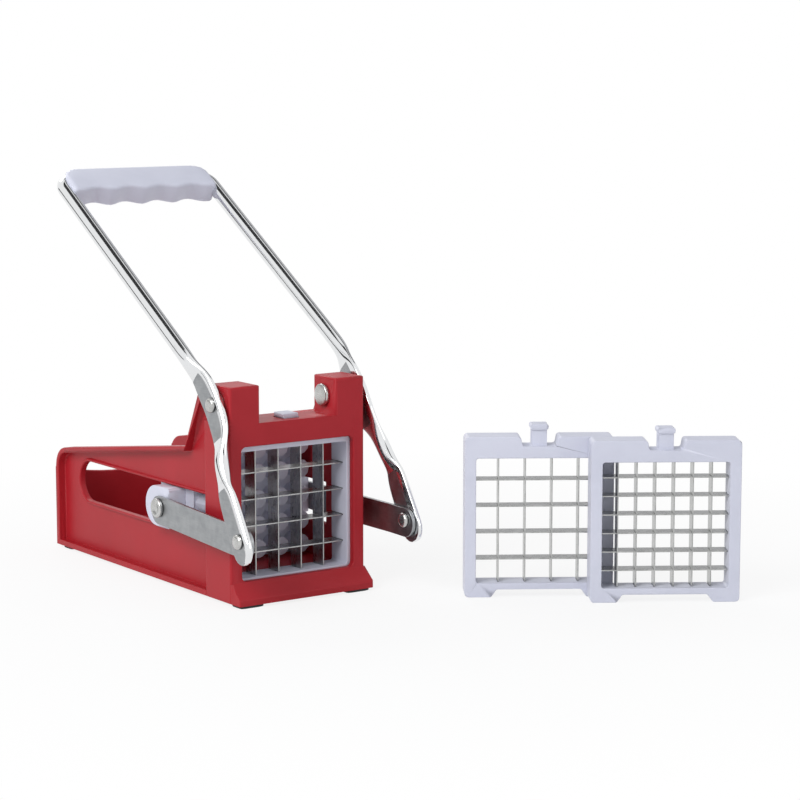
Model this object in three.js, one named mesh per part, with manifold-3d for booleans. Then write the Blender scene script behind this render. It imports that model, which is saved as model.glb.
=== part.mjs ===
// Lever-operated vegetable dicer with a push block, a cutting cassette and two spare cassettes.
// Millimetres, +Z up. X runs across the body, -Y is the cutting end, +Y the loading end.
import * as THREE from 'three';
import { mergeVertices } from 'three/addons/utils/BufferGeometryUtils.js';
import Module from 'manifold-3d';

const wasm = await Module();
wasm.setup();

// Driving dimensions.
const seat = 0.3; // gap between pieces that rest on each other
const slide = 0.5; // gap beside a piece that slides
const hole = 0.2; // radial gap of a pin in its hole
const past = 1; // how far a cutter runs past the face it cuts

const openWidth = 67; // the blades' opening
const openHeight = 67;
const sideBar = 6;
const topBar = 11.6;
const bottomBar = 7.6;
const cassetteDepth = 15;
const cassetteLift = 4.1; // cassette's feet above the body's lower edge
const cassetteWidth = openWidth + 2 * sideBar;
const openCentre = cassetteLift + bottomBar + openHeight / 2;
const openTop = openCentre + openHeight / 2;
const openBottom = openCentre - openHeight / 2;
const toe = 4.2; // feet under the cassette
const toeWidth = 16;
const tabWidth = 9.6;
const tabDepth = 9.6;
const tabRise = 6.2; // tab above the cassette's top edge
const notchWidth = 20;
const notchDepth = 5.4;

const bladeSheet = 0.6;
const bladeDepth = 10;
const bladeSet = 4.5; // blade edge behind the cassette's front face
const bladeTail = 2; // blade end inside the cassette's side
const coarsePitch = 14.2;
const finePitch = 9.9;

const bodyLength = 196; // front panel to the rear of the side walls
const sideSkin = 2; // tower wall beside the cassette
const bodyWidth = cassetteWidth + 2 * (slide + sideSkin);
const panel = 4; // front panel thickness
const backWall = 7; // tower wall behind the cassette
const towerDepth = panel + seat + cassetteDepth + seat + backWall;
const headerSkin = 3; // thickness of the cross bar's top plate
const headerTop = openTop + topBar + 0.7 + headerSkin; // top of the cross bar over the window
const postTop = headerTop + 20;
const postWidth = 18.6;
const postDepth = 21.3;
const softEdge = 1.6; // rounding of the posts and the tower's upright edges
const chamberWidth = openWidth + 2 * 1.2; // between the side webs
const floorTop = openBottom - 0.7; // floor of the loading chamber
const floorSkin = 3;
const windowWidth = openWidth + 2 * 1.5;
const windowBottom = openBottom - 0.8;
const windowTop = openTop + 3.3;
const sillTop = windowBottom - 0.5; // the sloping lip below the window
const sillReach = 8.5;
const sillNose = 3.4;
const web = 2.4; // side web thickness
const rim = 3; // flange around each side web
const wallRear = 56.7; // side wall height at its rear end
const wallFront = 77.5; // side wall height at the foot of the gusset
const gussetTop = towerDepth + 4.4;
const gussetFoot = towerDepth + 19.4; // where the gusset meets the side wall
const cornerRadius = 12;
const rearWallTop = 42;
const rearWall = 3;

const slotCentre = 41.5; // height of the slot that guides the push block
const slotHeight = 23;
const slotEnd = bodyLength - 23.5;
const slotLip = 1.6; // bead around the slot

const footWidth = 15;
const footLength = 11;
const footProud = 1.5;
const footPocket = 1.5;

const slideY = 67; // the push block's axle, at rest
const pegLength = 11;
const pegRadius = 5.2;
const pushPlate = 4;
const plateLead = 16; // plate's front face ahead of the axle
const lugLead = 8; // side lugs ahead of the axle
const lugTail = 7.3; // middle of a lug's round end, behind the axle
const lugProud = 2.5; // lugs stand out of the body's sides
const pushTail = 19; // push block behind the axle
const pushCap = 2; // push block below the top of the grid's opening
const cheek = 4.4; // push block's side plates
const axleRadius = 2.5;
const axleHead = 5.3;

const pivotY = 11;
const pivotZ = postTop - 10;
const crankY = -27;
const crankZ = 39;
const pivotPin = 2.5;
const pivotHead = 6;
const rivetHead = 4;
const headRise = 1.8;
const washer = 1.2;
const crankStep = 4.9; // crank plates stand out from the pivot plates

const barRadius = 4; // lever tube
const barLift = 31.5; // degrees above level, at rest
const barOffset = 7.8; // tube centre line beside the pivot
const barReach = 195.5; // pivot to the lever's cross piece
const barHalfSpan = bodyWidth / 2 + 6;
const bend = 10;
const plateHalf = 8.2; // half width of the flattened ends
const plateSheet = 2.6;
const linkSheet = 2;
const linkHeight = 15.6;
const linkDrop = 1.4; // link's middle line below its two pins
const linkEnd = 8; // link past the middle of each pin

const gripLead = 16.7; // from the cross piece to the grip's front edge
const gripBack = 4.2;
const gripTop = 6;
const gripBottom = 7.5;
const gripEnd = bodyWidth / 2 + 4.5;
const fingerPitch = 20.5;
const fingerDepth = 3;

const spareTurn = THREE.MathUtils.degToRad(-33); // about Z
const spareGap = 28.9; // between the body's side and the nearest spare cassette
const spareX = bodyWidth / 2 + (cassetteWidth / 2) * Math.cos(spareTurn) + spareGap;
const spareY = -73;
const spareStep = 65; // the second spare stands against the first, this far along it

// Materials.
const finish = (color, roughness, metalness) =>
  new THREE.MeshStandardMaterial({ color, roughness, metalness });
const red = finish(0xb5232c, 0.42, 0);
const white = finish(0xd5d9ea, 0.45, 0);
const chrome = finish(0xc8ccce, 0.12, 1);
const steel = finish(0xa8abac, 0.3, 1);
const black = finish(0x161616, 0.8, 0);

// Solids.
function solid(geometry) {
  const bare = geometry.clone();
  bare.deleteAttribute('normal');
  bare.deleteAttribute('uv');
  const merged = mergeVertices(bare, 1e-4);
  const mesh = new wasm.Mesh({
    numProp: 3,
    vertProperties: new Float32Array(merged.attributes.position.array),
    triVerts: new Uint32Array(merged.index.array),
  });
  return new wasm.Manifold(mesh);
}

function geometryOf(shape) {
  const mesh = shape.getMesh();
  const geometry = new THREE.BufferGeometry();
  const count = mesh.vertProperties.length / mesh.numProp;
  const positions = new Float32Array(count * 3);
  for (let i = 0; i < count; i++) {
    for (let k = 0; k < 3; k++) positions[3 * i + k] = mesh.vertProperties[mesh.numProp * i + k];
  }
  geometry.setAttribute('position', new THREE.BufferAttribute(positions, 3));
  geometry.setIndex(new THREE.BufferAttribute(new Uint32Array(mesh.triVerts), 1));
  geometry.computeVertexNormals();
  return geometry;
}

const join = (...shapes) => shapes.reduce((all, next) => all.add(next));
const cut = (shape, ...tools) => tools.reduce((left, tool) => left.subtract(tool), shape);

function block(x0, x1, y0, y1, z0, z1) {
  const box = new THREE.BoxGeometry(x1 - x0, y1 - y0, z1 - z0);
  return solid(box.translate((x0 + x1) / 2, (y0 + y1) / 2, (z0 + z1) / 2));
}

const bases = {
  x: new THREE.Matrix4().makeBasis(
    new THREE.Vector3(0, 1, 0), new THREE.Vector3(0, 0, 1), new THREE.Vector3(1, 0, 0)),
  y: new THREE.Matrix4().makeBasis(
    new THREE.Vector3(-1, 0, 0), new THREE.Vector3(0, 0, 1), new THREE.Vector3(0, 1, 0)),
  z: new THREE.Matrix4(),
};

// An outline pushed along an axis: (y, z) along x, (x, z) along y or (x, y) along z.
function prism(axis, shape, from, to, curveSegments = 10) {
  const geometry = new THREE.ExtrudeGeometry(shape, {
    depth: to - from, bevelEnabled: false, curveSegments,
  });
  geometry.translate(0, 0, from);
  return solid(geometry.applyMatrix4(bases[axis]));
}

function outline(points) {
  return new THREE.Shape(points.map(([a, b]) => new THREE.Vector2(a, b)));
}

// A closed outline whose corners are rounded; a point is [a, b, radius].
function rounded(points) {
  const shape = new THREE.Shape();
  const count = points.length;
  points.forEach(([a, b, radius = 0], i) => {
    const here = new THREE.Vector2(a, b);
    const before = new THREE.Vector2(...points[(i + count - 1) % count].slice(0, 2)).sub(here);
    const after = new THREE.Vector2(...points[(i + 1) % count].slice(0, 2)).sub(here);
    const turn = Math.abs(before.angleTo(after));
    const trim = Math.min(radius / Math.tan(turn / 2), 0.49 * before.length(), 0.49 * after.length());
    const start = before.setLength(trim).add(here);
    const end = after.setLength(trim).add(here);
    if (i === 0) shape.moveTo(start.x, start.y);
    else shape.lineTo(start.x, start.y);
    if (radius === 0) return;
    // A cubic that lies on the arc to a few thousandths of its radius.
    const pull = (4 / 3) * Math.tan((Math.PI - turn) / 4) * Math.tan(turn / 2);
    const first = start.clone().lerp(here, pull);
    const second = end.clone().lerp(here, pull);
    shape.bezierCurveTo(first.x, first.y, second.x, second.y, end.x, end.y);
  });
  shape.closePath();
  return shape;
}

function roundedRect(a0, a1, b0, b1, radius) {
  return rounded([[a0, b0, radius], [a1, b0, radius], [a1, b1, radius], [a0, b1, radius]]);
}

// A long slot outline with full round ends.
function stadium(a0, a1, b, half) {
  const shape = new THREE.Shape();
  shape.moveTo(a0 + half, b - half);
  shape.lineTo(a1 - half, b - half);
  shape.absarc(a1 - half, b, half, -Math.PI / 2, Math.PI / 2);
  shape.lineTo(a0 + half, b + half);
  shape.absarc(a0 + half, b, half, Math.PI / 2, 1.5 * Math.PI);
  return shape;
}

// A turned pin along X: [x, radius] stations from one end to the other.
function turned(stations, y, z, sides = 16) {
  const first = stations[0][0];
  const last = stations[stations.length - 1][0];
  const profile = [[first, 0], ...stations, [last, 0]].map(([x, r]) => new THREE.Vector2(r, x));
  const geometry = new THREE.LatheGeometry(profile, sides);
  geometry.rotateZ(-Math.PI / 2);
  return solid(geometry.translate(0, y, z));
}

// The tool for a hole along X through a plate between x0 and x1.
const bore = (x0, x1, radius, y, z) => turned([[x0 - past, radius], [x1 + past, radius]], y, z);

function domed(x0, x1, radius) {
  const rise = x1 - x0;
  return [0, 0.5, 0.8].map((k) => [
    x0 + rise * Math.sin((k * Math.PI) / 2), radius * Math.sqrt(1 - 0.82 * k * k),
  ]).concat([[x1, radius * 0.36]]);
}

const mirrored = (shape, side) => (side > 0 ? shape : shape.mirror([1, 0, 0]));

// Housing.
const half = bodyWidth / 2;
const webOuter = chamberWidth / 2 + web;
const slotHalf = slotHeight / 2;
const cassetteY = panel + seat;

function wallOutline(inset) {
  const rise = wallFront - wallRear;
  const run = bodyLength - gussetFoot;
  const drop = (rise * inset) / run;
  return rounded([
    [towerDepth - past, inset], [bodyLength - inset, inset],
    [bodyLength - inset, wallRear - inset + drop, Math.max(cornerRadius - inset, 1)],
    [gussetFoot + inset * 0.4, wallFront - inset, 1.5],
    [gussetTop - inset * 0.75, postTop - 5 - inset, 1], [postDepth - past, postTop - 5 - inset],
    [postDepth - past, headerTop], [towerDepth - past, headerTop],
  ]);
}

function sideWall() {
  const shell = prism('x', wallOutline(0), chamberWidth / 2, half);
  const recess = prism('x', wallOutline(rim), webOuter, half + past);
  const bead = prism('x', stadium(towerDepth - slotHeight, slotEnd + slotLip, slotCentre, slotHalf + slotLip),
    webOuter - past, webOuter + slotLip);
  const slotTool = prism('x', stadium(towerDepth - slotHeight, slotEnd, slotCentre, slotHalf),
    chamberWidth / 2 - past, half + past, 14);
  const front = block(0, half + past, -past, towerDepth, 0, postTop);
  return cut(shell, recess).add(bead.subtract(front)).subtract(slotTool.subtract(front));
}

function post() {
  const foot = headerTop - 2 * softEdge - past;
  return prism('y', roundedRect(-half, postWidth - half, foot, postTop, softEdge), 0, postDepth, 5)
    .intersect(prism('x', roundedRect(0, postDepth, foot, postTop, softEdge), half - postWidth, half, 5))
    .intersect(prism('z', roundedRect(half - postWidth, half, 0, postDepth, softEdge), foot, postTop, 5));
}

function tower() {
  const shell = prism('z', roundedRect(-half, half, 0, towerDepth, softEdge), 0, headerTop, 5);
  const posts = [-1, 1].map((side) => mirrored(post(), side));
  const pocket = block(
    -cassetteWidth / 2 - slide, cassetteWidth / 2 + slide,
    panel, cassetteY + cassetteDepth + seat, -past, headerTop - headerSkin);
  const mouth = prism('y', roundedRect(-windowWidth / 2, windowWidth / 2, windowBottom, windowTop, 3),
    -past, panel + past);
  const throat = block(-chamberWidth / 2, chamberWidth / 2, panel, towerDepth + past,
    floorTop, openTop + slide);
  const relief = block(-chamberWidth / 2, chamberWidth / 2, cassetteY + cassetteDepth + 3,
    towerDepth + past, -past, floorTop - floorSkin);
  const tabHole = block(
    -tabWidth / 2 - slide, tabWidth / 2 + slide,
    cassetteY + (cassetteDepth - tabDepth) / 2 - slide,
    cassetteY + (cassetteDepth + tabDepth) / 2 + slide, headerTop - headerSkin - past, headerTop + past);
  const pinHole = turned([[-half - past, pivotPin + hole], [half + past, pivotPin + hole]], pivotY, pivotZ);
  return cut(join(shell, ...posts), pocket, mouth, throat, relief, tabHole, pinHole);
}

function sill() {
  return prism('x', outline([
    [0.5, 0], [0.5, sillTop], [0, sillTop], [-sillReach, sillNose], [-sillReach, 0],
  ]), -half, half);
}

function rearPanel() {
  const back = bodyLength - rim;
  const dip = new THREE.Shape();
  const reach = chamberWidth / 2 + 1;
  dip.moveTo(-reach, 0);
  dip.lineTo(reach, 0);
  dip.lineTo(reach, rearWallTop + 2.5);
  dip.quadraticCurveTo(0, rearWallTop - 5, -reach, rearWallTop + 2.5);
  return prism('y', dip, back - rearWall, back);
}

const footSpots = [-1, 1].flatMap((side) => [-2.2, bodyLength - 10].map((y) => ({ side, y })));
const footX = half - footWidth / 2 - 1.2;

function footBlock(spot, grow, z0, z1) {
  const x = spot.side * footX;
  const w = footWidth / 2 + grow;
  const l = footLength / 2 + grow;
  return prism('z', roundedRect(x - w, x + w, spot.y - l, spot.y + l, 3), z0, z1, 3);
}

function housing() {
  const floor = block(-chamberWidth / 2 - 1, chamberWidth / 2 + 1, towerDepth - 1,
    bodyLength - rim - 1, floorTop - floorSkin, floorTop);
  const walls = [-1, 1].map((side) => mirrored(sideWall(), side));
  const padSeats = footSpots.filter((spot) => spot.y > towerDepth).map((spot) => block(
    ...[spot.side * (footX - footWidth / 2 - 1), spot.side * webOuter].sort((a, b) => a - b),
    spot.y - footLength / 2 - 2, spot.y + footLength / 2 + 1.5, 0, floorTop - 1));
  const shell = join(tower(), sill(), floor, rearPanel(), ...walls, ...padSeats);
  return cut(shell, ...footSpots.map((spot) => footBlock(spot, slide, -past, footPocket + seat)));
}

// Cassettes.
function bladeCentres(open, pitch) {
  const count = Math.round(open / pitch) - 1;
  return Array.from({ length: count }, (_, i) => (i - (count - 1) / 2) * pitch);
}

// Middle of each cell that the blades leave, across the opening.
function cellCentres(open, pitch) {
  const lines = [-open / 2, ...bladeCentres(open, pitch), open / 2];
  return lines.slice(1).map((line, i) => (line + lines[i]) / 2);
}

// The frame stands in its own XZ plane: X across, Z up from the grid's centre, Y from the front face.
function cassetteFrame(pitch) {
  const w = cassetteWidth / 2;
  const top = openHeight / 2 + topBar;
  const bottom = -openHeight / 2 - bottomBar;
  const plan = rounded([
    [-w, bottom, 2.5], [-w + toeWidth - 2, bottom, 2], [-w + toeWidth + 1, bottom + toe, 2],
    [w - toeWidth - 1, bottom + toe, 2], [w - toeWidth + 2, bottom, 2], [w, bottom, 2.5],
    [w, top, 2.5], [notchWidth / 2, top, 2], [notchWidth / 2 - 1, top - notchDepth, 1.5],
    [-notchWidth / 2 + 1, top - notchDepth, 1.5], [-notchWidth / 2, top, 2], [-w, top, 2.5],
  ]);
  plan.holes.push(roundedRect(-openWidth / 2, openWidth / 2, -openHeight / 2, openHeight / 2, 1.5));
  const ring = prism('y', plan, 0, cassetteDepth, 5);
  const mid = cassetteDepth / 2;
  const stem = block(-tabWidth / 2 + 0.8, tabWidth / 2 - 0.8, mid - tabDepth / 2 + 0.8,
    mid + tabDepth / 2 - 0.8, top - notchDepth - 1, top + tabRise - 1);
  const head = prism('y', roundedRect(-tabWidth / 2, tabWidth / 2, top + tabRise - 3, top + tabRise, 1.2),
    mid - tabDepth / 2, mid + tabDepth / 2, 4);
  const grooves = [];
  const gap = bladeSheet / 2 + seat / 2;
  for (const x of bladeCentres(openWidth, pitch)) {
    const reach = openHeight / 2 + bladeTail + seat;
    grooves.push(block(x - gap, x + gap, bladeSet - seat, bladeSet + bladeDepth + past, -reach, reach));
  }
  for (const z of bladeCentres(openHeight, pitch)) {
    const reach = openWidth / 2 + bladeTail + seat;
    grooves.push(block(-reach, reach, bladeSet - seat, bladeSet + bladeDepth + past, z - gap, z + gap));
  }
  return cut(join(ring, stem, head), ...grooves);
}

// A strip with half-depth notches, so that the upright and level blades cross.
function blade(open, crossings, notchFront) {
  const reach = open / 2 + bladeTail;
  const gap = bladeSheet / 2 + seat / 2;
  const deep = bladeSet + bladeDepth;
  const middle = bladeSet + bladeDepth / 2;
  const edge = notchFront ? bladeSet : deep;
  const floor = notchFront ? middle + seat / 2 : middle - seat / 2;
  const points = [];
  for (const c of crossings) {
    points.push([c - gap, edge], [c - gap, floor], [c + gap, floor], [c + gap, edge]);
  }
  const ends = notchFront ? bladeSet : deep;
  const far = notchFront ? deep : bladeSet;
  const loop = [[-reach, ends], ...points, [reach, ends], [reach, far], [-reach, far]];
  return outline(notchFront ? loop : loop.reverse());
}

function upright(x, pitch) {
  const strip = blade(openHeight, bladeCentres(openHeight, pitch), false);
  const turn = new THREE.Matrix4().makeBasis(
    new THREE.Vector3(0, 0, 1), new THREE.Vector3(0, 1, 0), new THREE.Vector3(-1, 0, 0));
  const geometry = new THREE.ExtrudeGeometry(strip, { depth: bladeSheet, bevelEnabled: false });
  return solid(geometry.translate(0, 0, -bladeSheet / 2).applyMatrix4(turn).translate(x, 0, 0));
}

function level(z, pitch) {
  const strip = blade(openWidth, bladeCentres(openWidth, pitch), true);
  const geometry = new THREE.ExtrudeGeometry(strip, { depth: bladeSheet, bevelEnabled: false });
  return solid(geometry.translate(0, 0, z - bladeSheet / 2));
}

function cassette(name, pitch) {
  const group = new THREE.Group();
  group.add(piece(`${name}_frame`, cassetteFrame(pitch), white));
  bladeCentres(openWidth, pitch).forEach((x, i) => {
    group.add(piece(`${name}_upright_blade_${i + 1}`, upright(x, pitch), steel));
  });
  bladeCentres(openHeight, pitch).forEach((z, i) => {
    group.add(piece(`${name}_level_blade_${i + 1}`, level(z, pitch), steel));
  });
  return group;
}

// Push block.
const pushWidth = chamberWidth - 2 * slide;
const pushBottom = floorTop + slide;
const pushTop = openTop - pushCap;

function pushBlock() {
  const face = slideY - plateLead;
  const plate = block(-pushWidth / 2, pushWidth / 2, face, face + pushPlate, pushBottom, pushTop);
  const pegs = [];
  for (const x of cellCentres(openWidth, coarsePitch)) {
    for (const z of cellCentres(openHeight, coarsePitch)) {
      const peg = new THREE.CylinderGeometry(pegRadius, pegRadius, pegLength + past, 12);
      pegs.push(solid(peg.translate(x, face - (pegLength - past) / 2, openCentre + z)));
    }
  }
  const rear = slideY + pushTail;
  const cheeks = [-1, 1].map((side) => mirrored(
    block(pushWidth / 2 - cheek, pushWidth / 2, face + past, rear, slotCentre - 15, slotCentre + 15), side));
  const shelves = [-13, 0, 13].map((z) => block(
    -pushWidth / 2 + 1, pushWidth / 2 - 1, face + past, rear - 7,
    slotCentre + z - 1.5, slotCentre + z + 1.5));
  const ribs = [-1, 1].map((side) => mirrored(
    block(13, 16, face + past, rear - 7, slotCentre - 14, slotCentre + 14), side));
  const boss = block(-7, 7, slideY - 6, slideY + 6, slotCentre - 6, slotCentre + 6);
  const lugs = [-1, 1].map((side) => mirrored(lug(), side));
  const axleHole = bore(-linkPadIn, linkPadIn, axleRadius + hole, slideY, slotCentre);
  return cut(join(plate, ...pegs, ...cheeks, ...shelves, ...ribs, boss, ...lugs), axleHole);
}

function lug() {
  const h = slotHalf - slide;
  const front = slideY - lugLead;
  const shape = new THREE.Shape();
  shape.moveTo(front, slotCentre - h + 2);
  shape.quadraticCurveTo(front, slotCentre - h, front + 2, slotCentre - h);
  shape.lineTo(slideY + lugTail, slotCentre - h);
  shape.absarc(slideY + lugTail, slotCentre, h, -Math.PI / 2, Math.PI / 2);
  shape.lineTo(front + 2, slotCentre + h);
  shape.quadraticCurveTo(front, slotCentre + h, front, slotCentre + h - 2);
  shape.closePath();
  return prism('x', shape, pushWidth / 2 - 1, half + lugProud, 14);
}

const linkPadIn = half + lugProud + seat; // link's inner face at the axle
const linkPadOut = linkPadIn + linkSheet;
const leverIn = half + seat + washer + seat; // lever's inner face at the pivot
const leverOut = leverIn + plateSheet;
const crankIn = leverOut + crankStep; // lever's inner face at the crank rivet
const crankOut = crankIn + plateSheet;
const linkFarOut = crankIn - seat; // link's outer face at the crank rivet
const linkFarIn = linkFarOut - linkSheet;

function axle() {
  const headIn = linkPadOut + seat;
  const headOut = headIn + headRise;
  const headSection = [[headIn, axleHead], [headOut - 0.4, axleHead], [headOut, axleHead - 0.4]];
  const right = [[headIn, axleRadius], ...headSection];
  const left = right.map(([x, r]) => [-x, r]).reverse();
  return turned([...left, ...right], slideY, slotCentre, 20);
}

// Links.
function link() {
  const h = linkHeight / 2;
  const bendRear = slideY - 12;
  const bendFront = crankY + 13;
  const strip = outline([
    [linkPadIn, slideY + linkEnd + past], [linkPadIn, bendRear], [linkFarIn, bendFront],
    [linkFarIn, crankY - linkEnd - past], [linkFarOut, crankY - linkEnd - past],
    [linkFarOut, bendFront - 0.4],
    [linkPadOut, bendRear - 0.4], [linkPadOut, slideY + linkEnd + past],
  ]);
  const bar = prism('z', strip, crankZ - linkHeight, slotCentre + linkHeight);
  const tilt = Math.atan2(slotCentre - crankZ, slideY - crankY);
  const length = Math.hypot(slotCentre - crankZ, slideY - crankY);
  const side = new THREE.ExtrudeGeometry(stadium(-linkEnd, length + linkEnd, -linkDrop, h), {
    depth: linkFarOut + past - (linkPadIn - past), bevelEnabled: false, curveSegments: 14,
  });
  side.rotateZ(tilt);
  side.translate(crankY, crankZ, linkPadIn - past).applyMatrix4(bases.x);
  const holes = [
    bore(linkPadIn, linkPadOut, axleRadius + hole, slideY, slotCentre),
    bore(linkFarIn, linkFarOut, pivotPin + hole, crankY, crankZ),
  ];
  return cut(bar.intersect(solid(side)), ...holes);
}

function crankRivetInner() {
  const face = linkFarIn - seat;
  const head = domed(0, headRise, rivetHead).map(([rise, r]) => [face - rise, r]).reverse();
  return turned([...head, [face, pivotPin], [linkFarOut, pivotPin]], crankY, crankZ);
}

function crankRivetOuter() {
  const face = crankOut + seat;
  return turned([[crankIn, pivotPin], [face, pivotPin], ...domed(face, face + headRise, rivetHead)],
    crankY, crankZ);
}

// Lever.
const lift = THREE.MathUtils.degToRad(barLift);
const along = new THREE.Vector3(0, Math.cos(lift), Math.sin(lift));
const across = new THREE.Vector3(0, -Math.sin(lift), Math.cos(lift));
const pivot = new THREE.Vector3(0, pivotY, pivotZ);
const crankA = (crankY - pivotY) * along.y + (crankZ - pivotZ) * along.z;
const crankB = (crankY - pivotY) * across.y + (crankZ - pivotZ) * across.z;

// A point given across the body, along the lever and square to it.
function leverPoint(x, a, b) {
  return pivot.clone().addScaledVector(along, a).addScaledVector(across, b).setX(x);
}

// One station of the lever tube: place, half width, half thickness and squareness of the section.
const station = (x, a, b, w, t, power) => ({ at: leverPoint(x, a, b), w, t, power });

function armStations() {
  const pivotX = (leverIn + leverOut) / 2;
  const crankX = (crankIn + crankOut) / 2;
  const h = plateSheet / 2;
  const r = barRadius;
  const toCrank = (k) => [crankA * k, crankB * k];
  const list = [
    station(barHalfSpan, 42, barOffset, r, r, 2),
    station(barHalfSpan, 31, barOffset - 0.2, r, r, 2),
    station(barHalfSpan - 0.4, 24, barOffset - 1.4, 5.2, 3.4, 2.4),
    station(pivotX + 0.5, 17, 4.6, 7.4, 1.9, 3.4),
    station(pivotX, 11, 2.4, plateHalf, h, 5),
    station(pivotX, 0, 0, plateHalf, h, 5),
    station(pivotX, ...toCrank(0.14), plateHalf, h, 5),
    station(pivotX + 0.9, ...toCrank(0.22), 7, 2, 3.4),
    station((pivotX + crankX) / 2, ...toCrank(0.31), 5, 3.2, 2.4),
    station(crankX - 2.2, ...toCrank(0.4), r + 0.2, r - 0.2, 2),
    station(crankX - 1.2, ...toCrank(0.54), r + 0.3, r - 0.4, 2),
    station(crankX + 0.9, ...toCrank(0.62), 6.2, 2.2, 3),
    station(crankX, ...toCrank(0.69), plateHalf - 0.3, h, 5),
    station(crankX, ...toCrank(1), plateHalf, h, 5),
  ];
  const reach = Math.hypot(crankA, crankB);
  for (const k of [0.35, 0.6, 0.8, 0.93, 1]) {
    const width = plateHalf * Math.sqrt(1 - 0.94 * k * k);
    list.push(station(crankX, ...toCrank(1 + (4 + plateHalf * k) / reach), width, h, 5));
  }
  return list;
}

function tubeStations() {
  const right = [];
  const steps = 6;
  for (let i = 0; i <= steps; i++) {
    const angle = (Math.PI / 2) * (1 - i / steps);
    right.push(station(
      barHalfSpan - bend + bend * Math.cos(angle), barReach - bend + bend * Math.sin(angle),
      barOffset, barRadius, barRadius, 2));
  }
  right.push(...armStations().map((s) => ({ ...s, straight: true })));
  const left = right.map((s) => ({ ...s, at: s.at.clone().setX(-s.at.x) })).reverse();
  return [...left, ...right];
}

// Skins a tube through its stations, each section square to the path.
function skin(stations, sides = 16) {
  const rings = stations.map((s, i) => {
    const from = stations[Math.max(i - 1, 0)].at;
    const to = stations[Math.min(i + 1, stations.length - 1)].at;
    const way = to.clone().sub(from);
    if (s.straight) way.x = 0;
    if (Math.abs(s.at.x) <= barHalfSpan - bend + 0.01) way.set(1, 0, 0);
    way.normalize();
    const thick = new THREE.Vector3();
    const wide = new THREE.Vector3();
    if (Math.abs(way.x) > 1e-6) {
      wide.copy(across);
      thick.crossVectors(way, wide).normalize();
    } else {
      thick.set(Math.sign(s.at.x) * -1, 0, 0);
      wide.crossVectors(thick, way).normalize();
      thick.crossVectors(way, wide).normalize();
    }
    return Array.from({ length: sides }, (_, k) => {
      const angle = (2 * Math.PI * k) / sides;
      const c = Math.cos(angle);
      const d = Math.sin(angle);
      const pull = (v) => Math.sign(v) * Math.abs(v) ** (2 / s.power);
      return s.at.clone().addScaledVector(wide, s.w * pull(c)).addScaledVector(thick, s.t * pull(d));
    });
  });
  const points = rings.flat();
  const faces = [];
  for (let i = 0; i + 1 < rings.length; i++) {
    for (let k = 0; k < sides; k++) {
      const a = i * sides + k;
      const b = i * sides + ((k + 1) % sides);
      faces.push(a, b, b + sides, a, b + sides, a + sides);
    }
  }
  const last = (rings.length - 1) * sides;
  for (let k = 1; k + 1 < sides; k++) faces.push(0, k + 1, k, last, last + k, last + k + 1);
  const geometry = new THREE.BufferGeometry();
  geometry.setAttribute('position', new THREE.Float32BufferAttribute(points.flatMap((p) => p.toArray()), 3));
  geometry.setIndex(faces);
  const body = solid(geometry);
  return body.volume() < 0 ? solid(flipped(geometry)) : body;
}

function flipped(geometry) {
  const index = geometry.index.array;
  for (let i = 0; i < index.length; i += 3) [index[i], index[i + 1]] = [index[i + 1], index[i]];
  return geometry;
}

function leverBar() {
  const bar = skin(tubeStations());
  const holes = [-1, 1].flatMap((side) => [
    mirrored(bore(leverIn, leverOut, pivotPin + hole, pivotY, pivotZ), side),
    mirrored(bore(crankIn, crankOut, pivotPin + hole, crankY, crankZ), side),
  ]);
  return cut(bar, ...holes);
}

function leverPlaced(geometry) {
  const basis = new THREE.Matrix4().makeBasis(new THREE.Vector3(1, 0, 0), along, across);
  return solid(geometry.applyMatrix4(basis).translate(0, pivotY, pivotZ));
}

// The grip wraps the lever's cross piece; its front edge is waved for four fingers.
function grip() {
  const front = barReach - gripLead;
  const back = barReach + gripBack;
  const side = barHalfSpan - barRadius - seat;
  const shape = new THREE.Shape();
  const waves = 4;
  const start = -fingerPitch * waves / 2;
  shape.moveTo(-side, front + 1);
  shape.lineTo(start, front);
  for (let i = 0; i < waves; i++) {
    const x = start + i * fingerPitch;
    shape.bezierCurveTo(x + 0.25 * fingerPitch, front + 1.33 * fingerDepth,
      x + 0.75 * fingerPitch, front + 1.33 * fingerDepth, x + fingerPitch, front);
  }
  shape.lineTo(side, front + 1);
  shape.lineTo(side, barReach - bend);
  shape.lineTo(gripEnd, barReach - bend);
  shape.quadraticCurveTo(gripEnd, back, gripEnd - bend - 2, back);
  shape.lineTo(-gripEnd + bend + 2, back);
  shape.quadraticCurveTo(-gripEnd, back, -gripEnd, barReach - bend);
  shape.lineTo(-side, barReach - bend);
  shape.closePath();
  const slab = new THREE.ExtrudeGeometry(shape, {
    depth: gripTop + gripBottom - 2, curveSegments: 8,
    bevelThickness: 1, bevelSize: 1, bevelOffset: -1, bevelSegments: 2,
  });
  slab.translate(0, 0, barOffset - gripBottom + 1);
  const wide = barRadius + seat;
  const round = tubeStations().filter((s) => s.w === barRadius && s.t === barRadius);
  return cut(leverPlaced(slab), skin(round.map((s) => ({ ...s, w: wide, t: wide }))));
}

// Pivots and feet.
function pivotRivet() {
  const inner = half - postWidth - seat;
  const outer = leverOut + seat;
  return turned([
    [inner - 2, pivotHead - 0.6], [inner - 1.6, pivotHead], [inner, pivotHead], [inner, pivotPin],
    [outer, pivotPin], ...domed(outer, outer + headRise, rivetHead),
  ], pivotY, pivotZ, 20);
}

function pivotWasher() {
  const ring = turned([[half + seat, 6.5], [half + seat + washer, 6.5]], pivotY, pivotZ);
  return ring.subtract(turned([[half - past, pivotPin + hole], [half + 4, pivotPin + hole]], pivotY, pivotZ));
}

// Assembly.
function piece(name, shape, material) {
  const mesh = new THREE.Mesh(geometryOf(shape), material);
  mesh.name = name;
  return mesh;
}

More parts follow.
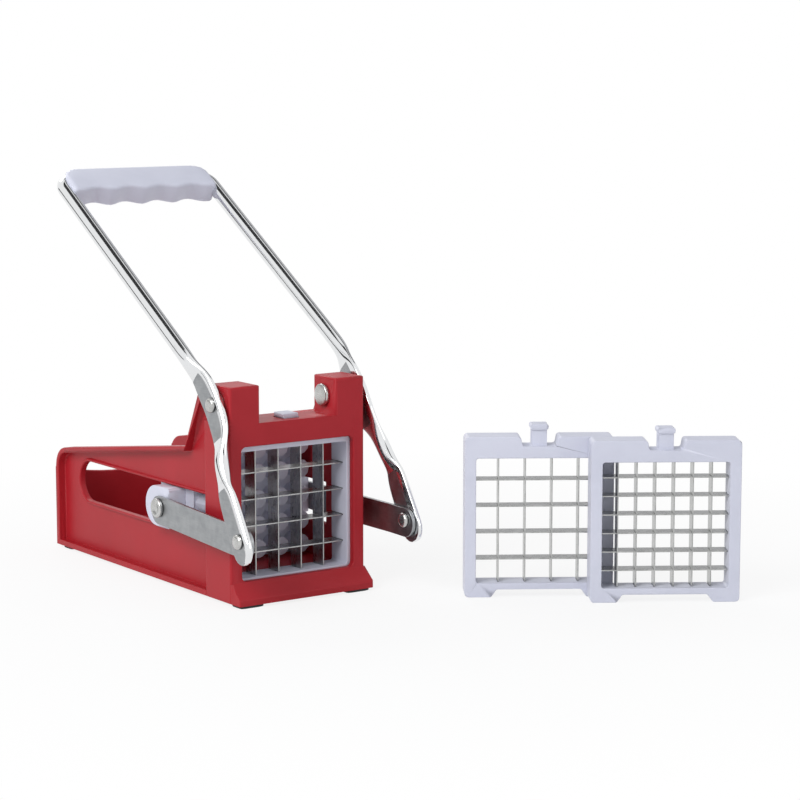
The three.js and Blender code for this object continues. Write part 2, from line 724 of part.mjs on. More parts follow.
function pair(name, shape, material) {
  return [['left', -1], ['right', 1]].map(([side, sign]) =>
    piece(`${name}_${side}`, mirrored(shape, sign), material));
}

const dicer = new THREE.Group();
dicer.add(piece('housing', housing(), red));
footSpots.forEach((spot) => {
  const name = `foot_${spot.y < towerDepth ? 'front' : 'rear'}_${spot.side < 0 ? 'left' : 'right'}`;
  dicer.add(piece(name, footBlock(spot, 0, -footProud, footPocket), black));
});
dicer.add(...pair('pivot_rivet', pivotRivet(), steel));
dicer.add(...pair('pivot_washer', pivotWasher(), steel));
dicer.add(piece('lever_bar', leverBar(), chrome));
dicer.add(piece('grip', grip(), white));
dicer.add(...pair('crank_rivet_head', crankRivetOuter(), steel));
dicer.add(...pair('crank_rivet', crankRivetInner(), steel));
dicer.add(...pair('link', link(), steel));
dicer.add(piece('push_block', pushBlock(), white));
dicer.add(piece('push_block_axle', axle(), steel));

const fitted = cassette('fitted', coarsePitch);
fitted.position.set(0, cassetteY, openCentre);
dicer.add(fitted);

const spares = new THREE.Group();
spares.position.set(spareX, spareY, openHeight / 2 + bottomBar - footProud);
spares.rotation.z = spareTurn;
const spareFine = cassette('spare_fine', finePitch);
spareFine.position.set(spareStep, -cassetteDepth - seat, 0);
spares.add(cassette('spare_coarse', coarsePitch), spareFine);

// The set stands on Z = 0, centred about the origin.
const set = new THREE.Group();
set.add(dicer, spares);
const reach = new THREE.Box3().setFromObject(set);
const middle = reach.getCenter(new THREE.Vector3());
set.position.set(-middle.x, -middle.y, -reach.min.z);

export default set;
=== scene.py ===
import math

import bmesh
import bpy
from mathutils import Matrix, Vector
from mathutils.bvhtree import BVHTree
from mathutils.geometry import intersect_point_line


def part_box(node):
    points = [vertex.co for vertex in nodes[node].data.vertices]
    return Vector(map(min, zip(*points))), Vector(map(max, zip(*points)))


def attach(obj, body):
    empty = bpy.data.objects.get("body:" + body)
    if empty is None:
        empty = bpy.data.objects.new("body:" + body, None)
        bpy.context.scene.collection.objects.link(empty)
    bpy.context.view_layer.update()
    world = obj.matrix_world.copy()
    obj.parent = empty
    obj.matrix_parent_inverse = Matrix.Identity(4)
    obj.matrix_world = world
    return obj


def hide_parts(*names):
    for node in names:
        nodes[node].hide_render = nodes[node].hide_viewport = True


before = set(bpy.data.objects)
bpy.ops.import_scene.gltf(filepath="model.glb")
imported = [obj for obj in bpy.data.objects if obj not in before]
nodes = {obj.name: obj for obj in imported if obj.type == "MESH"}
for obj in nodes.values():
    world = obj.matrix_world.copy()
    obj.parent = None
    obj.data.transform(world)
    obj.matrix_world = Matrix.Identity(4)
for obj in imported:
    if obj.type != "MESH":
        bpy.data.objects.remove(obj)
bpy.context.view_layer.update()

mm = 0.001

# The dicer's own zero: middle of its width, front face of the window, underside of the body.
sillReach = 8.5
lowCorner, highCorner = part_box("housing")
zero = Vector(((lowCorner.x + highCorner.x) / 2, lowCorner.y + sillReach * mm, lowCorner.z))


def place(x, y, z):
    return zero + Vector((x, y, z)) * mm


# Objects.


def deselectAll():
    if bpy.context.mode != "OBJECT":
        bpy.ops.object.mode_set(mode="OBJECT")
    bpy.ops.object.select_all(action="DESELECT")


def activate(piece):
    deselectAll()
    piece.select_set(True)
    bpy.context.view_layer.objects.active = piece


def applyModifier(piece, kind, **settings):
    modifier = piece.modifiers.new(kind.lower(), kind)
    for key, value in settings.items():
        setattr(modifier, key, value)
    activate(piece)
    bpy.ops.object.modifier_apply(modifier=modifier.name)


def smooth(piece, angle=40):
    activate(piece)
    bpy.ops.object.shade_smooth_by_angle(angle=math.radians(angle))


def closeUp(piece):  # merges doubles and turns every face outwards
    activate(piece)
    bpy.ops.object.mode_set(mode="EDIT")
    bpy.ops.mesh.select_all(action="SELECT")
    bpy.ops.mesh.remove_doubles(threshold=0.002 * mm)
    bpy.ops.mesh.normals_make_consistent(inside=False)
    bpy.ops.object.mode_set(mode="OBJECT")


def settle(piece, name, body, replaced, material):
    activate(piece)
    bpy.ops.object.transform_apply(location=True, rotation=True, scale=True)
    piece.name = name
    piece.data.materials.clear()
    piece.data.materials.append(material)
    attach(piece, body)
    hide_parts(*replaced)
    return piece


rounding = {
    "merge": 0.004,  # mm between points that are one
    "flat": 0.5,  # degrees, below which two faces are one
    "hard": 30,  # degrees, above which an edge is rounded
    "segments": 2,
    "speck": 0.02,  # square mm, below which a turned face is let be
    "turned": -0.2,  # of a face's normal along the sharp shape's
    "drift": 0.75,  # how far a face may leave the sharp shape, in widths of the rounding
    "near": 2.0,  # where the edges that caused it are looked for, in widths
    "tries": 8,
}


def edgeGap(edge, spot):
    start, end = edge.verts[0].co, edge.verts[1].co
    foot, share = intersect_point_line(spot, start, end)
    if not 0 < share < 1:
        foot = start if share <= 0 else end
    return (spot - foot).length


def foldedSpots(mesh, surface, width):  # where a face has turned over or left the sharp shape
    spots = []
    mesh.calc_loop_triangles()
    for triangle in mesh.loop_triangles:
        _, normal, _, gap = surface.find_nearest(triangle.center)
        wide = triangle.area > rounding["speck"] * mm * mm
        turned = wide and normal.dot(triangle.normal) < rounding["turned"]
        if turned or gap > rounding["drift"] * width:
            spots.append(triangle.center.copy())
    return spots


def roundEdges(piece, width):  # rounds the hard edges and tries to leave sharp those that fold over
    sharp = piece.data
    shape = bmesh.new()
    shape.from_mesh(sharp)
    surface = BVHTree.FromBMesh(shape)
    weight = shape.edges.layers.float.new("bevel_weight_edge")
    hardAngle = math.radians(rounding["hard"])
    hard = [e for e in shape.edges if e.is_manifold and e.calc_face_angle(0) > hardAngle]
    for edge in hard:
        edge[weight] = 1.0
    for attempt in range(rounding["tries"]):
        piece.data = sharp.copy()
        shape.to_mesh(piece.data)
        applyModifier(
            piece, "BEVEL", width=width, segments=rounding["segments"], limit_method="WEIGHT",
            use_clamp_overlap=False, miter_outer="MITER_ARC")
        spots = foldedSpots(piece.data, surface, width)
        if not spots:
            break
        reach = width * (rounding["near"] + attempt)
        for spot in spots:
            near = [e for e in hard if e[weight] and edgeGap(e, spot) < reach]
            if near:
                min(near, key=lambda e: e.calc_length())[weight] = 0.0
    shape.free()
    print(piece.name, "rounded with", len(spots), "folds left")


def moulded(node, edge):  # a copy of a part with its hard edges rounded
    mesh = nodes[node].data.copy()
    piece = bpy.data.objects.new(node + "_shape", mesh)
    bpy.context.scene.collection.objects.link(piece)
    activate(piece)
    bpy.ops.object.mode_set(mode="EDIT")
    bpy.ops.mesh.select_all(action="SELECT")
    bpy.ops.mesh.remove_doubles(threshold=rounding["merge"] * mm)
    bpy.ops.mesh.dissolve_limited(angle_limit=math.radians(rounding["flat"]))
    bpy.ops.mesh.select_all(action="SELECT")
    bpy.ops.mesh.quads_convert_to_tris(quad_method="BEAUTY", ngon_method="BEAUTY")
    bpy.ops.object.mode_set(mode="OBJECT")
    roundEdges(piece, edge * mm)
    smooth(piece)
    applyModifier(piece, "WEIGHTED_NORMAL", keep_sharp=True)
    return piece


# Materials.


class Level:  # a value socket that adds its Math nodes when it is used in a sum
    def __init__(self, finish, socket):
        self.finish = finish
        self.socket = socket

    def _with(self, operation, first, second):
        return self.finish.node("ShaderNodeMath", {"operation": operation}, {0: first, 1: second})

    def __add__(self, other):
        return self._with("ADD", self, other)

    __radd__ = __add__

    def __mul__(self, other):
        return self._with("MULTIPLY", self, other)

    __rmul__ = __mul__


class Finish:
    def __init__(self, name, **fixed):
        self.material = bpy.data.materials.new(name)
        self.material.use_nodes = True
        self.tree = self.material.node_tree
        self.shader = self.tree.nodes["Principled BSDF"]
        for socket, value in fixed.items():
            self.shader.inputs[socket.replace("_", " ")].default_value = value
        coordinates = self.tree.nodes.new("ShaderNodeTexCoord")
        self.point = coordinates.outputs["Object"]

    def node(self, kind, settings=None, values=None):
        made = self.tree.nodes.new(kind)
        for key, value in (settings or {}).items():
            setattr(made, key, value)
        for key, value in (values or {}).items():
            if isinstance(value, Level):
                value = value.socket
            if isinstance(value, bpy.types.NodeSocket):
                self.tree.links.new(value, made.inputs[key])
            else:
                made.inputs[key].default_value = value
        return Level(self, made.outputs[0])

    def stretched(self, x, y, z):
        return self.node("ShaderNodeMapping", None, {"Vector": self.point, "Scale": (x, y, z)})

    def noise(self, scale, detail=3.0, rough=0.5, vector=None):
        return self.node("ShaderNodeTexNoise", None, {
            "Vector": vector or self.point, "Scale": scale, "Detail": detail, "Roughness": rough})

    def blend(self, mask, first, second):  # the Mix node's colour sockets are 6, 7 and, out, 2
        mix = self.tree.nodes.new("ShaderNodeMix")
        mix.data_type = "RGBA"
        self.tree.links.new(mask.socket, mix.inputs[0])
        mix.inputs[6].default_value = (*first, 1)
        mix.inputs[7].default_value = (*second, 1)
        return Level(self, mix.outputs[2])

    def ramp(self, level, low, high):
        return self.node("ShaderNodeMapRange", {"clamp": True}, {
            "Value": level, "From Min": low, "From Max": high})

    def bump(self, height, strength, distance):
        return self.node("ShaderNodeBump", None, {
            "Height": height, "Strength": strength, "Distance": distance * mm})

    def feed(self, **levels):
        for socket, level in levels.items():
            self.tree.links.new(level.socket, self.shader.inputs[socket.replace("_", " ")])
        return self.material


plasticLook = {
    "grain": 2600.0, "grainHeight": 0.012, "flow": 18.0, "cloud": 60.0,
    "red": ((0.36, 0.011, 0.018), (0.41, 0.016, 0.025)),
    "white": ((0.60, 0.615, 0.72), (0.66, 0.675, 0.78)),
}


def plastic(name, colours, roughness, **fixed):
    look = Finish(name, **fixed)
    flow = look.noise(plasticLook["flow"], 2.0)
    cloud = look.noise(plasticLook["cloud"], 4.0, 0.6)
    grain = look.noise(plasticLook["grain"], 2.0)
    scuffs = look.ramp(look.noise(420.0, 6.0, 0.7, look.stretched(1.0, 0.25, 1.0)), 0.62, 0.74)
    colour = look.blend(look.ramp(flow * 0.6 + cloud * 0.4, 0.35, 0.65), *colours)
    rough = cloud * 0.10 + (roughness - 0.05) + scuffs * 0.10
    relief = grain + scuffs * 0.6
    return look.feed(
        Base_Color=colour, Roughness=rough,
        Normal=look.bump(relief, 0.35, plasticLook["grainHeight"]))


metalLook = {
    "chrome": (0.78, 0.79, 0.80), "chromeDull": (0.66, 0.67, 0.68),
    "zinc": ((0.29, 0.302, 0.315), (0.39, 0.402, 0.412)),
    "steel": ((0.46, 0.46, 0.45), (0.60, 0.60, 0.59)),
    "blade": ((0.34, 0.345, 0.34), (0.52, 0.525, 0.52)),
}


def plated(name):  # bright tube with a little orange peel and rub marks
    look = Finish(name, Metallic=1.0)
    peel = look.noise(240.0, 2.0)
    rub = look.ramp(look.noise(900.0, 5.0, 0.7, look.stretched(1.0, 0.12, 0.12)), 0.60, 0.72)
    colour = look.blend(rub, metalLook["chrome"], metalLook["chromeDull"])
    rough = rub * 0.10 + peel * 0.03 + 0.07
    return look.feed(Base_Color=colour, Roughness=rough, Normal=look.bump(peel + rub * 0.3, 0.10, 0.02))


def brushed(name, colours, roughness, along):  # worked metal, its lines run along an axis with a small scale
    look = Finish(name, Metallic=1.0)
    lines = look.noise(1500.0, 3.0, 0.6, look.stretched(*along))
    cloud = look.noise(140.0, 5.0, 0.65)
    specks = look.ramp(look.noise(1400.0, 2.0), 0.70, 0.78)
    colour = look.blend(look.ramp(cloud * 0.7 + lines * 0.3, 0.38, 0.62), *colours)
    rough = lines * 0.12 + cloud * 0.16 + (roughness - 0.14) + specks * 0.12
    return look.feed(Base_Color=colour, Roughness=rough, Normal=look.bump(lines + specks * 0.5, 0.22, 0.015))


def rubberFinish(name):
    look = Finish(name)
    grain = look.noise(1800.0, 4.0, 0.7)
    dust = look.ramp(look.noise(300.0, 4.0), 0.45, 0.75)
    colour = look.blend(dust, (0.010, 0.010, 0.011), (0.024, 0.024, 0.025))
    return look.feed(Base_Color=colour, Roughness=dust * 0.08 + 0.72, Normal=look.bump(grain, 0.5, 0.03))


redPlastic = plastic("redPlastic", plasticLook["red"], 0.42, Specular_IOR_Level=0.27)
whitePlastic = plastic("whitePlastic", plasticLook["white"], 0.40)
chromePlate = plated("chromePlate")
zincPlate = brushed("zincPlate", metalLook["zinc"], 0.34, (1.0, 0.06, 1.0))
rivetSteel = brushed("rivetSteel", metalLook["steel"], 0.26, (1.0, 1.0, 1.0))
levelSteel = brushed("levelSteel", metalLook["blade"], 0.28, (0.05, 1.0, 1.0))
uprightSteel = brushed("uprightSteel", metalLook["blade"], 0.28, (1.0, 1.0, 0.05))
rubber = rubberFinish("rubber")
print("materials made")


# Camera, floor and lights.

view = {
    "azimuth": -35.18, "elevation": 8.15, "distance": 1400.0, "lens": 110.45,
    "target": (107.7, 60.0, 88.3),
}


def makeCamera():
    around = math.radians(view["azimuth"])
    above = math.radians(view["elevation"])
    back = Vector((
        math.sin(around) * math.cos(above), -math.cos(around) * math.cos(above), math.sin(above)))
    target = place(*view["target"])
    camera = bpy.data.objects.new("camera", bpy.data.cameras.new("camera"))
    camera.data.lens = view["lens"]
    camera.data.clip_end = 50
    camera.location = target + back * view["distance"] * mm
    camera.rotation_euler = (-back).to_track_quat("-Z", "Y").to_euler()
    bpy.context.scene.collection.objects.link(camera)
    bpy.context.scene.camera = camera
    return camera


def paleRays(tree):  # 1 where the camera, gloss or glass looks straight at the surroundings
    rays = tree.nodes.new("ShaderNodeLightPath")
    total = None
    for ray in ("Is Camera Ray", "Is Glossy Ray", "Is Transmission Ray"):
        if total is None:
            total = rays.outputs[ray]
            continue
        either = tree.nodes.new("ShaderNodeMath")
        either.operation = "MAXIMUM"
        tree.links.new(total, either.inputs[0])
        tree.links.new(rays.outputs[ray], either.inputs[1])
        total = either.outputs[0]
    return total


floorFade = (0.16, 0.42, 0.84, 1.0)  # near and far in metres, then the glow's share there
floorSize = 8.0


def makeFloor():
    bpy.ops.mesh.primitive_plane_add(size=floorSize, location=(0, 0, 0))
    floor = bpy.context.object
    floor.name = "floor"
    material = bpy.data.materials.new("floorPaper")
    material.use_nodes = True
    tree = material.node_tree
    tree.nodes.clear()
    paper = tree.nodes.new("ShaderNodeBsdfDiffuse")
    paper.inputs["Color"].default_value = (0.86, 0.86, 0.865, 1)
    glow = tree.nodes.new("ShaderNodeEmission")
    glow.inputs["Color"].default_value = (1, 1, 1, 1)
    spot = tree.nodes.new("ShaderNodeTexCoord")
    distance = tree.nodes.new("ShaderNodeVectorMath")
    distance.operation = "LENGTH"
    tree.links.new(spot.outputs["Object"], distance.inputs[0])
    fade = tree.nodes.new("ShaderNodeMapRange")
    for socket, value in zip(("From Min", "From Max", "To Min", "To Max"), floorFade):
        fade.inputs[socket].default_value = value
    tree.links.new(distance.outputs["Value"], fade.inputs["Value"])
    share = tree.nodes.new("ShaderNodeMath")
    share.operation = "MULTIPLY"
    tree.links.new(paleRays(tree), share.inputs[0])
    tree.links.new(fade.outputs["Result"], share.inputs[1])
    mix = tree.nodes.new("ShaderNodeMixShader")
    out = tree.nodes.new("ShaderNodeOutputMaterial")
    tree.links.new(share.outputs[0], mix.inputs[0])
    tree.links.new(paper.outputs[0], mix.inputs[1])
    tree.links.new(glow.outputs[0], mix.inputs[2])
    tree.links.new(mix.outputs[0], out.inputs["Surface"])
    floor.data.materials.append(material)


def makeWorld(ambient):
    world = bpy.data.worlds.new("studio")
    bpy.context.scene.world = world
    world.use_nodes = True
    tree = world.node_tree
    tree.nodes.clear()
    soft = tree.nodes.new("ShaderNodeBackground")
    soft.inputs["Color"].default_value = (0.97, 0.98, 1.0, 1)
    soft.inputs["Strength"].default_value = ambient
    white = tree.nodes.new("ShaderNodeBackground")
    white.inputs["Color"].default_value = (1, 1, 1, 1)
    mix = tree.nodes.new("ShaderNodeMixShader")
    out = tree.nodes.new("ShaderNodeOutputWorld")
    tree.links.new(paleRays(tree), mix.inputs[0])
    tree.links.new(soft.outputs[0], mix.inputs[1])
    tree.links.new(white.outputs[0], mix.inputs[2])
    tree.links.new(mix.outputs[0], out.inputs["Surface"])


studio = {
    "ambient": 0.52,
    # lamps: place and size in metres, then watts
    "key": ((-1.9, -0.5, 1.5), (1.3, 1.3), 34.0),
    "front": ((0.9, -2.2, 1.1), (1.4, 1.0), 4.0),
    "back": ((0.3, 1.9, 1.6), (1.4, 0.8), 10.0),
    # where the lamps and the grey boards face, in mm from the dicer's zero
    "aim": (20, 70, 70),
    "cardAim": (0, 60, 110),
    "cardDistance": 2.6,
    "cardBlue": 1.03,
    "cards": [  # azimuth, elevation, width and height in metres, grey level
        (-138, 7, (2.2, 0.34), 0.045), (-168, 75, (1.6, 0.80), 0.045), (124, 50, (1.7, 1.0), 0.22),
        (126, 22, (1.7, 1.3), 0.50), (-28, 41, (2.3, 0.42), 0.05)],
}


def softbox(name, spot, size, power):
    lamp = bpy.data.lights.new(name, "AREA")
    lamp.shape = "RECTANGLE"
    lamp.size, lamp.size_y = size
    lamp.energy = power
    holder = bpy.data.objects.new(name, lamp)
    holder.location = spot
    aim = place(*studio["aim"]) - Vector(spot)
    holder.rotation_euler = aim.to_track_quat("-Z", "Y").to_euler()
    bpy.context.scene.collection.objects.link(holder)


def card(name, azimuth, elevation, size, level):  # flat grey board that shows only in reflections
    around, above = math.radians(azimuth), math.radians(elevation)
    outward = Vector((
        math.sin(around) * math.cos(above), -math.cos(around) * math.cos(above), math.sin(above)))
    spot = place(*studio["cardAim"]) + outward * studio["cardDistance"]
    bpy.ops.mesh.primitive_plane_add(size=1.0, location=spot)
    board = bpy.context.object
    board.name = name
    board.scale = (size[0], size[1], 1)
    board.rotation_euler = (-outward).to_track_quat("Z", "Y").to_euler()
    material = bpy.data.materials.new(name)
    material.use_nodes = True
    tree = material.node_tree
    tree.nodes.clear()
    glow = tree.nodes.new("ShaderNodeEmission")
    glow.inputs["Color"].default_value = (level, level, level * studio["cardBlue"], 1)
    out = tree.nodes.new("ShaderNodeOutputMaterial")
    tree.links.new(glow.outputs[0], out.inputs["Surface"])
    board.data.materials.append(material)
    board.visible_camera = False
    board.visible_diffuse = False
    board.visible_shadow = False


makeCamera()
makeFloor()
makeWorld(studio["ambient"])
for lampName in ("key", "front", "back"):
    softbox(lampName + "Box", *studio[lampName])
for number, board in enumerate(studio["cards"]):
    card(f"card{number + 1}", *board)
print("camera, floor and lights set")


# Moulded pieces.

mouldedParts = [
    # node, edge radius in mm, body, material, slot
    ("housing", 0.7, "base", redPlastic, "red_plastic"),
    ("push_block", 0.4, "push_block", whitePlastic, "white_plastic"),
    ("fitted_frame", 0.45, "cassette", whitePlastic, "white_plastic"),
    ("spare_coarse_frame", 0.45, "base", whitePlastic, "white_plastic"),
    ("spare_fine_frame", 0.45, "base", whitePlastic, "white_plastic"),
    ("foot_front_left", 0.5, "base", rubber, "rubber"),
    ("foot_front_right", 0.5, "base", rubber, "rubber"),
    ("foot_rear_left", 0.5, "base", rubber, "rubber"),
    ("foot_rear_right", 0.5, "base", rubber, "rubber"),
    ("link_left", 0.35, "links", zincPlate, "zinc_steel"),
    ("link_right", 0.35, "links", zincPlate, "zinc_steel"),
]
for node, edge, body, material, slot in mouldedParts:
    settle(moulded(node, edge), node + "_moulded", body, [node], material)
print("moulded pieces made")

# Lever.

lever = {
    "pivot": (11.0, 104.0), "crank": (-27.0, 39.0), "lift": 31.5, "offset": 7.8, "reach": 195.5,
    "halfSpan": 48.0, "radius": 4.0, "bend": 10.0, "pivotX": 45.1, "crankX": 52.6,
    "plate": 8.2, "sheet": 1.3, "bead": 2.1, "sides": 48, "bendSteps": 12,
    "tail": 4.0, "tailRound": 0.94, "dullFlatness": 0.55, "dullReach": 0.45,
}
lift = math.radians(lever["lift"])
along = Vector((0, math.cos(lift), math.sin(lift)))
across = Vector((0, -math.sin(lift), math.cos(lift)))
pivot = Vector((0, *lever["pivot"]))
toCrank = Vector((0, *lever["crank"])) - pivot
crankA, crankB = toCrank.dot(along), toCrank.dot(across)


def leverPoint(x, a, b):
    return Vector((x, 0, 0)) + pivot + along * a + across * b


def easedRows(rows, steps=6, passes=10):  # even steps between the listed sections, evened out
    eased = []
    for one, two in zip(rows, rows[1:]):
        for step in range(steps):
            eased.append([p + (q - p) * step / steps for p, q in zip(one, two)])
    eased.append(list(rows[-1]))
    for _ in range(passes):
        inner = [
            [(p + 2 * q + r) / 4 for p, q, r in zip(*near)] for near in zip(eased, eased[1:], eased[2:])]
        eased = [eased[0], *inner, eased[-1]]
    return eased


def leverStations():  # place, half width, half thickness and flatness of each section
    r, h, plate = lever["radius"], lever["sheet"], lever["plate"]
    pivotX, crankX, span = lever["pivotX"], lever["crankX"], lever["halfSpan"]
    offset = lever["offset"]

    def on(k):
        return crankA * k, crankB * k

    rows = [
        ((span, 46, offset), r, r, 0.0),
        ((span, 32, offset - 0.1), r, r, 0.0),
        ((span - 0.3, 25, offset - 1.0), 4.6, 3.5, 0.05),
        ((pivotX + 0.8, 18, 5.2), 6.4, 2.4, 0.55),
        ((pivotX + 0.1, 12, 3.4), plate - 0.3, h, 1.0),
        ((pivotX, 0, 0), plate, h, 1.0),
        ((pivotX, *on(0.15)), plate, h, 1.0),
        ((pivotX + 1.0, *on(0.24)), 7.2, 2.0, 0.7),
        (((pivotX + crankX) / 2 - 0.4, *on(0.33)), 5.2, 3.2, 0.25),
        ((crankX - 2.4, *on(0.42)), 4.4, 3.8, 0.0),
        ((crankX - 1.2, *on(0.54)), 4.5, 3.6, 0.05),
        ((crankX + 0.3, *on(0.62)), 6.0, 2.5, 0.5),
        ((crankX, *on(0.69)), plate - 0.4, h, 1.0),
        ((crankX, *on(1.0)), plate, h, 1.0),
    ]
    eased = easedRows([(*spot, *shape) for spot, *shape in rows])
    rows = [((x, a, b), *shape) for x, a, b, *shape in eased]
    length = math.hypot(crankA, crankB)
    for k in (0.0, 0.35, 0.6, 0.8, 0.93, 1.0):
        width = plate * math.sqrt(1 - lever["tailRound"] * k * k)
        rows.append(((crankX, *on(1 + (lever["tail"] + plate * k) / length)), width, h, 1.0))
    return rows


def leverSections():
    r, bend, reach = lever["radius"], lever["bend"], lever["reach"]
    inner = lever["halfSpan"] - bend
    rows = []
    for step in range(lever["bendSteps"] + 1):
        angle = math.pi / 2 * (1 - step / lever["bendSteps"])
        spot = (inner + bend * math.cos(angle), reach - bend + bend * math.sin(angle), lever["offset"])
        rows.append(((spot, r, r, 0.0), angle))
    side = [(row, None) for row in leverStations()]
    right = rows + side
    left = [(((-row[0][0], *row[0][1:]), *row[1:]), turn) for row, turn in reversed(right)]
    return left + right


def sectionHeight(u, halfWidth, halfThick, flat, outward):  # from the middle line, at u from -1 to 1
    tube = halfThick * math.sqrt(max(0.0, 1 - u * u))
    plate = lever["sheet"] * max(0.0, 1 - u ** 8) ** 0.125
    if outward:
        beadRadius = min(lever["bead"], halfWidth * 0.9)
        off = u * halfWidth - (halfWidth - beadRadius)
        plate = max(plate, math.sqrt(max(0.0, beadRadius ** 2 - off * off)))
    return (1 - flat) * tube + flat * plate


def leverBar():
    sections = leverSections()
    spots = [leverPoint(*row[0]) for row, turn in sections]
    mesh = bmesh.new()
    rings = []
    sides = lever["sides"]
    for i, (row, turn) in enumerate(sections):
        spot, (halfWidth, halfThick, flat) = spots[i], row[1:]
        way = spots[min(i + 1, len(spots) - 1)] - spots[max(i - 1, 0)]
        if turn is None:
            way.x = 0
        elif abs(spot.x) < lever["halfSpan"] - lever["bend"] + 0.01:
            way = Vector((1, 0, 0))
        way.normalize()
        if turn is None:
            inward = Vector((-1 if spot.x > 0 else 1, 0, 0))
            wide = inward.cross(way)
        else:
            wide = across.copy()
            inward = way.cross(wide)
        ring = []
        for k in range(sides):
            angle = 2 * math.pi * (k + 0.5) / sides
            u = math.cos(angle)
            outward = math.sin(angle) < 0
            height = sectionHeight(u, halfWidth, halfThick, flat, outward)
            point = spot + wide * (halfWidth * u) + inward * (-height if outward else height)
            ring.append(mesh.verts.new(zero + point * mm))
        rings.append(ring)
    dull = []  # the faces of the pressed plates, which are satin where the tube is bright
    for i, (one, two) in enumerate(zip(rings, rings[1:])):
        for k in range(sides):
            mesh.faces.new((one[k], one[(k + 1) % sides], two[(k + 1) % sides], two[k]))
            behindBead = math.cos(2 * math.pi * (k + 1) / sides) < lever["dullReach"]
            dull.append(sections[i][0][3] > lever["dullFlatness"] and behindBead)
    mesh.faces.new(reversed(rings[0]))
    mesh.faces.new(rings[-1])
    bmesh.ops.recalc_face_normals(mesh, faces=mesh.faces)
    data = bpy.data.meshes.new("lever_bar_shape")
    mesh.to_mesh(data)
    mesh.free()
    piece = bpy.data.objects.new("lever_bar_shape", data)
    bpy.context.scene.collection.objects.link(piece)
    smooth(piece, 50)
    settle(piece, "lever_tube", "lever", ["lever_bar"], chromePlate)
    piece.data.materials.append(zincPlate)
    for face, isDull in zip(piece.data.polygons, dull):
        face.material_index = int(isDull)


leverBar()
print("lever made")

# Grip.

gripShape = {
    "side": 46.5, "front": 178.8, "back": 199.7, "top": 6.0, "bottom": 7.5, "fingers": 4,
    "pitch": 20.5, "depth": 3.2, "round": 2.4, "corner": 10.0, "slices": 32,
    "upperShare": 0.45, "pinch": 1.7, "cornerShare": 0.8,
}


def grip():
    g = gripShape
    middle = (g["front"] + g["back"]) / 2
    bpy.ops.mesh.primitive_cube_add(size=1.0, location=(0, 0, 0))
    piece = bpy.context.object
    piece.scale = (2 * g["side"], g["back"] - g["front"], g["top"] + g["bottom"])
    bpy.ops.object.transform_apply(location=False, rotation=False, scale=True)
    bpy.ops.object.mode_set(mode="EDIT")
    for k in range(1, g["slices"]):
        bpy.ops.mesh.select_all(action="SELECT")
        x = -g["side"] + 2 * g["side"] * k / g["slices"]
        bpy.ops.mesh.bisect(plane_co=(x, 0, 0), plane_no=(1, 0, 0))
    bpy.ops.mesh.select_all(action="SELECT")
    bpy.ops.mesh.remove_doubles(threshold=0.01)
    bpy.ops.object.mode_set(mode="OBJECT")
    reach = g["fingers"] * g["pitch"] / 2
    for vertex in piece.data.vertices:
        x, a = vertex.co.x, vertex.co.y
        if a < 0 and abs(x) < reach:
            phase = (x + reach) / g["pitch"] % 1.0
            share = 1.0 if vertex.co.z < 0 else g["upperShare"]
            vertex.co.y += g["depth"] * share * math.sin(math.pi * phase) ** g["pinch"]
        if a > 0:
            past = max(0.0, abs(x) - (g["side"] - g["corner"])) / g["corner"]
            vertex.co.y -= g["corner"] * g["cornerShare"] * (1 - math.sqrt(max(0.0, 1 - past * past)))
    applyModifier(
        piece, "BEVEL", width=g["round"], segments=4, limit_method="ANGLE",
        angle_limit=math.radians(50), use_clamp_overlap=False)
    frameTurn = Matrix((
        (1, 0, 0, 0), (0, along.y, across.y, 0), (0, along.z, across.z, 0), (0, 0, 0, 1)))
    centre = leverPoint(0, middle, lever["offset"] + (g["top"] - g["bottom"]) / 2)
    toPlace = Matrix.Translation(zero) @ Matrix.Scale(mm, 4) @ Matrix.Translation(centre)
    piece.data.transform(toPlace @ frameTurn)
    closeUp(piece)
    smooth(piece)
    return settle(piece, "hand_grip", "lever", ["grip"], whitePlastic)


grip()
print("grip made")

# Rivets and axle.


pinEdge = {"width": 0.18, "angle": 40, "sides": 48}


def headedPin(name, stations, y, z, body, replaced):  # stations are (x, radius), one after the other
    deselectAll()
    (x, radius), rest = stations[0], stations[1:]
    bpy.ops.mesh.primitive_circle_add(
        vertices=pinEdge["sides"], radius=radius * mm, fill_type="NGON", location=place(x, y, z),
        rotation=(0, math.radians(90), 0))
    piece = bpy.context.object
    bpy.ops.object.transform_apply(location=True, rotation=True, scale=True)
    bpy.ops.object.mode_set(mode="EDIT")
    bpy.ops.mesh.select_all(action="SELECT")
    for nextX, nextRadius in rest:
        bpy.ops.mesh.extrude_region_move(TRANSFORM_OT_translate={"value": ((nextX - x) * mm, 0, 0)})
        ratio = nextRadius / radius
        bpy.ops.transform.resize(value=(1, ratio, ratio), center_override=place(nextX, y, z))
        x, radius = nextX, nextRadius
    bpy.ops.object.mode_set(mode="OBJECT")
    closeUp(piece)
    applyModifier(
        piece, "BEVEL", width=pinEdge["width"] * mm, segments=2, limit_method="ANGLE",
        angle_limit=math.radians(pinEdge["angle"]), use_clamp_overlap=True)
    smooth(piece)
    return settle(piece, name, body, replaced, rivetSteel)


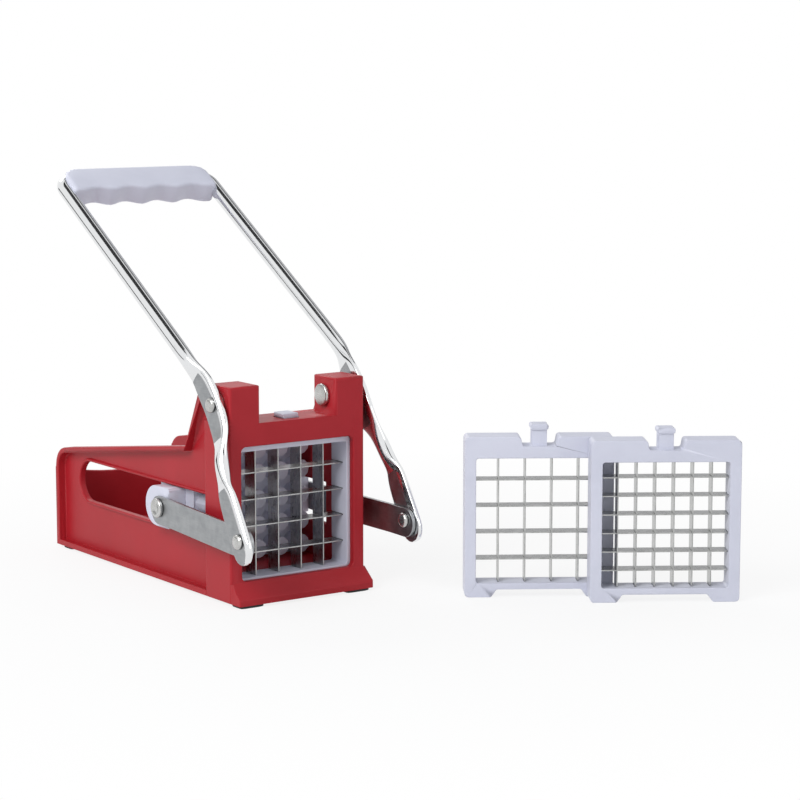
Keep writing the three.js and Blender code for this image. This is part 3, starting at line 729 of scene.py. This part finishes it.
pinRows = {  # (x, radius) along one side, in the order in which they are drawn
    "pivotHead": [(20.9, 5.0), (21.1, 5.7), (21.6, 6.0), (23.1, 6.0)],
    "pivotShank": [(23.1, 2.5), (46.7, 2.5)],
    "crankShank": [(51.3, 2.5), (54.2, 2.5)],
    "innerShank": [(51.0, 2.5), (48.7, 2.5)],
    "axleHead": [(47.1, 2.5), (47.1, 5.2), (48.4, 5.3), (48.9, 4.9), (48.9, 3.3), (48.65, 3.0)],
}
domeShape = {"rise": 1.8, "radius": 4.0, "flat": 0.30, "steps": 6, "share": 0.96}
axlePlace = (67.0, 41.5)


def domed(shank, way):  # a shank and the dome on its far end, which rises outwards (1) or inwards (-1)
    rows = list(shank)
    for step in range(domeShape["steps"] + 1):
        k = step / domeShape["steps"] * domeShape["share"]
        height = domeShape["rise"] * math.sin(k * math.pi / 2)
        width = domeShape["radius"] * max(math.sqrt(1 - k * k), domeShape["flat"])
        rows.append((shank[-1][0] + way * height, width))
    return rows


for side, sign in (("left", -1), ("right", 1)):
    pivotRows = pinRows["pivotHead"] + domed(pinRows["pivotShank"], 1)
    crankRows = domed(pinRows["crankShank"], 1)
    innerRows = domed(pinRows["innerShank"], -1)
    for name, rows, (y, z), body, node in (
        ("pivot_pin", pivotRows, lever["pivot"], "base", "pivot_rivet"),
        ("crank_dome", crankRows, lever["crank"], "lever", "crank_rivet_head"),
        ("crank_pin", innerRows, lever["crank"], "links", "crank_rivet"),
    ):
        headedPin(f"{name}_{side}", [(sign * x, r) for x, r in rows], y, z, body, [f"{node}_{side}"])

axleLine = [(-x, r) for x, r in reversed(pinRows["axleHead"])] + pinRows["axleHead"]
headedPin("push_axle", axleLine, *axlePlace, "push_block", ["push_block_axle"])
print("rivets and axle made")

# Nodes that keep their own shape.

for name, node in nodes.items():
    if "_blade_" in name:
        finish = levelSteel if "_level_" in name else uprightSteel
    elif name.startswith("pivot_washer"):
        finish = rivetSteel
    else:
        continue
    node.data.materials.clear()
    node.data.materials.append(finish)
print("blades finished")

scene = bpy.context.scene
scene.view_settings.view_transform = "Standard"
